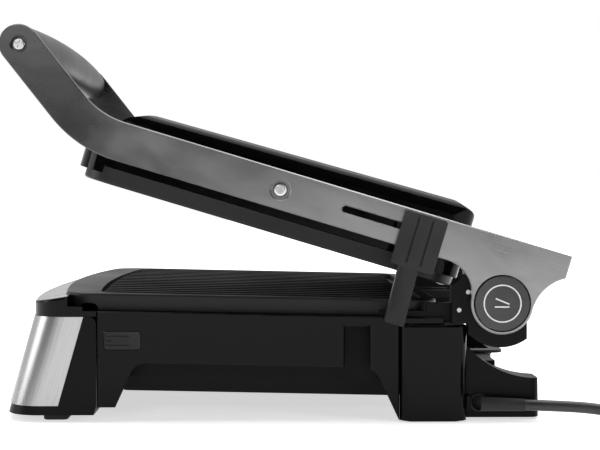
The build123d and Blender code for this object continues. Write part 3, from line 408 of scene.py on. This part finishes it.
# ---------------------------------------------------------------- mains lead
LEAD_POINTS = [
    (0.1565, 0.164, 0.0110),
    (0.1572, 0.186, 0.0103),
    (0.1598, 0.208, 0.0093),
    (0.1662, 0.227, 0.0069),
    (0.1743, 0.2415, 0.0049),
]
TAIL_POINTS = [
    (0.2375, 0.306, 0.0109),
    (0.251, 0.312, 0.0109),
    (0.2615, 0.322, 0.0110),
]
# Turn number, radius and height of the coil's line, from the lead's end to the plug's.
COIL_STATIONS = [
    (0.0, 0.0438, 0.00385),
    (0.8, 0.0438, 0.00385),
    (1.0, 0.0361, 0.00385),
    (1.6, 0.0361, 0.00385),
    (1.8, 0.0361, 0.0114),
    (2.0, 0.0400, 0.0108),
    (2.4, 0.0400, 0.0108),
    (2.6, 0.0438, 0.0114),
    (2.8, 0.0438, 0.0114),
    (3.0, 0.0478, 0.0117),
    (3.25, 0.0478, 0.0109),
]


def between_stations(turn):
    """Radius and height of the coil at a turn, easing from one station to the next."""
    for (start, *low), (end, *high) in zip(COIL_STATIONS, COIL_STATIONS[1:]):
        if turn <= end:
            share = (turn - start) / (end - start)
            ease = share * share * (3 - 2 * share)
            return [a + (b - a) * ease for a, b in zip(low, high)]
    return COIL_STATIONS[-1][1:]


def coil_points():
    """The coil from above runs clockwise, from its -X side round to its +Y side."""
    steps = round(COIL_STATIONS[-1][0] * POINTS_PER_TURN)
    points = []
    for step in range(steps + 1):
        turn = step / POINTS_PER_TURN
        radius, height = between_stations(turn)
        angle = math.pi - math.tau * turn
        points.append(COIL_CENTRE + Vector((radius * math.cos(angle), radius * math.sin(angle), height)))
    return points


def make_spline(name, points, radius):
    """A round tube along one smooth curve with these control points."""
    data = bpy.data.curves.new(name, "CURVE")
    data.dimensions = "3D"
    data.bevel_depth = radius
    data.bevel_resolution = 5
    data.resolution_u = 6
    data.use_fill_caps = True
    spline = data.splines.new("NURBS")
    spline.points.add(len(points) - 1)
    for place, point in zip(points, spline.points):
        point.co = (*place, 1.0)
    spline.order_u = 3
    spline.use_endpoint_u = True
    curve = bpy.data.objects.new(name, data)
    bpy.context.scene.collection.objects.link(curve)
    return curve


def make_cord():
    route = [Vector(p) for p in LEAD_POINTS] + coil_points() + [Vector(p) for p in TAIL_POINTS]
    cord = make_spline("mains_cord", route, CORD_DIAMETER / 2)
    cord.data.materials.append(MATERIALS["cord"])
    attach(cord, "base")
    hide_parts("cord_lead", "cord_coil", "cord_tail")


# ---------------------------------------------------------------- printed marks on the hinge discs
def ring_band(shape, centre, radius, half_width, x_low, x_high):
    """A thin flat ring in a plane across X."""
    count = 64
    rows = []
    for step in range(count):
        angle = 2 * math.pi * step / count
        corners = []
        for r, x in ((-1, x_low), (1, x_low), (1, x_high), (-1, x_high)):
            reach = radius + r * half_width
            y, z = centre.y + reach * math.cos(angle), centre.z + reach * math.sin(angle)
            corners.append(shape.verts.new((x, y, z)))
        rows.append(corners)
    for before, after in zip(rows, rows[1:] + rows[:1]):
        for side in range(4):
            shape.faces.new((before[side], before[(side + 1) % 4], after[(side + 1) % 4], after[side]))


def flat_bar(shape, centre, start, end, half_width, x_low, x_high):
    """A thin flat bar between two points (y, z) from a centre, in a plane across X."""
    start, end = Vector((0, *start)), Vector((0, *end))
    across = (end - start).normalized().cross(Vector((1, 0, 0))) * half_width
    flat = [start - across, end - across, end + across, start + across]
    low = [shape.verts.new((x_low, centre.y + point.y, centre.z + point.z)) for point in flat]
    high = [shape.verts.new((x_high, centre.y + point.y, centre.z + point.z)) for point in flat]
    shape.faces.new(low)
    shape.faces.new(high)
    for n in range(4):
        shape.faces.new((low[n], low[(n + 1) % 4], high[(n + 1) % 4], high[n]))


def disc_print(side, body, node):
    """A plain ring round two bars that stand for the plates, printed on a hinge disc."""
    low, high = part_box(node)
    face = high.x if side > 0 else low.x
    x_low, x_high = face - side * INK_BELOW, face + side * INK_ABOVE

    def build(shape):
        ring_band(shape, HINGE, RING_RADIUS, INK_HALF_WIDTH, x_low, x_high)
        flat_bar(shape, HINGE, (0.0045, -0.0022), (-0.0052, -0.0022), INK_HALF_WIDTH, x_low, x_high)
        flat_bar(shape, HINGE, (0.0045, -0.0004), (-0.0046, 0.0034), INK_HALF_WIDTH, x_low, x_high)

    mark = add_mesh(f"disc_mark_{body}", build, "print", body)
    for flat in mark.data.polygons:
        flat.use_smooth = False


# ---------------------------------------------------------------- studio
def make_floor():
    mesh = bpy.data.meshes.new("studio_floor")
    half = 6.0
    corners = [(-half, -half, 0), (half, -half, 0), (half, half, 0), (-half, half, 0)]
    mesh.from_pydata(corners, [], [(0, 1, 2, 3)])
    shader = Shader("studio_floor", grey(0.8), 0.9, Specular_IOR_Level=0.1)
    shader.set("Emission Color", (1, 1, 1, 1))
    away = shader.node("ShaderNodeVectorMath", operation="LENGTH")
    shader.link(shader.place, away.inputs[0])
    # The floor glows more away from the part, so that it runs into the white background.
    glow = shader.spread(away.outputs["Value"], 0.3, 1.0, 0.62, 1.0)
    shader.link(glow, shader.surface.inputs["Emission Strength"])
    shader.tint(shader.spread(shader.noise(3), 0.3, 0.7), grey(0.78), grey(0.82))
    mesh.materials.append(shader.material)
    floor = bpy.data.objects.new("studio_floor", mesh)
    bpy.context.scene.collection.objects.link(floor)


def add_softbox(name, place, target, size, power, colour=(1, 1, 1)):
    data = bpy.data.lights.new(name, "AREA")
    data.shape = "RECTANGLE"
    data.size, data.size_y = size
    data.energy = power
    data.color = colour
    lamp = bpy.data.objects.new(name, data)
    lamp.location = place
    lamp.rotation_euler = (Vector(target) - Vector(place)).to_track_quat("-Z", "Y").to_euler()
    bpy.context.scene.collection.objects.link(lamp)


def make_world():
    """A white studio: bright all round for the eye, darker towards the front of the set for reflections."""
    world = bpy.data.worlds.new("studio")
    bpy.context.scene.world = world
    world.use_nodes = True
    tree = world.node_tree
    tree.nodes.clear()
    place = tree.nodes.new("ShaderNodeTexCoord")
    split = tree.nodes.new("ShaderNodeSeparateXYZ")
    tree.links.new(place.outputs["Generated"], split.inputs["Vector"])
    fall = tree.nodes.new("ShaderNodeMapRange")
    for socket, number in zip(("From Min", "From Max", "To Min", "To Max"), (-0.5, 0.35, 1.0, 0.05)):
        fall.inputs[socket].default_value = number
    tree.links.new(split.outputs["X"], fall.inputs["Value"])
    lit = tree.nodes.new("ShaderNodeBackground")
    tree.links.new(fall.outputs["Result"], lit.inputs["Strength"])
    seen = tree.nodes.new("ShaderNodeBackground")
    seen.inputs["Color"].default_value = (1, 1, 1, 1)
    seen.inputs["Strength"].default_value = 1.0
    path = tree.nodes.new("ShaderNodeLightPath")
    mix = tree.nodes.new("ShaderNodeMixShader")
    tree.links.new(path.outputs["Is Camera Ray"], mix.inputs["Fac"])
    tree.links.new(lit.outputs["Background"], mix.inputs[1])
    tree.links.new(seen.outputs["Background"], mix.inputs[2])
    output = tree.nodes.new("ShaderNodeOutputWorld")
    tree.links.new(mix.outputs["Shader"], output.inputs["Surface"])


def make_studio():
    bpy.context.scene.view_settings.view_transform = "Standard"
    make_floor()
    make_world()
    add_softbox("top_box", (-0.35, 0.0, 1.6), (0, 0, 0.1), (1.8, 1.8), 34)
    add_softbox("front_box", (0.25, -1.7, 0.6), (0, -0.1, 0.05), (0.7, 0.9), 9)
    add_softbox("side_box", (1.9, -0.5, 0.75), (0, 0, 0.12), (0.5, 0.35), 4)
    # A slim upright lamp behind the right shoulder puts thin lines on rounded edges and on the handle.
    add_softbox("edge_strip", (1.1, 1.5, 0.7), (0, 0.05, 0.1), (0.12, 1.1), 7)


make_camera()
dress_nodes()
make_cord()
disc_print(1, "hinge_button_right", "hinge_release_button_right")
disc_print(-1, "hinge_button_left", "hinge_release_button_left")
make_studio()
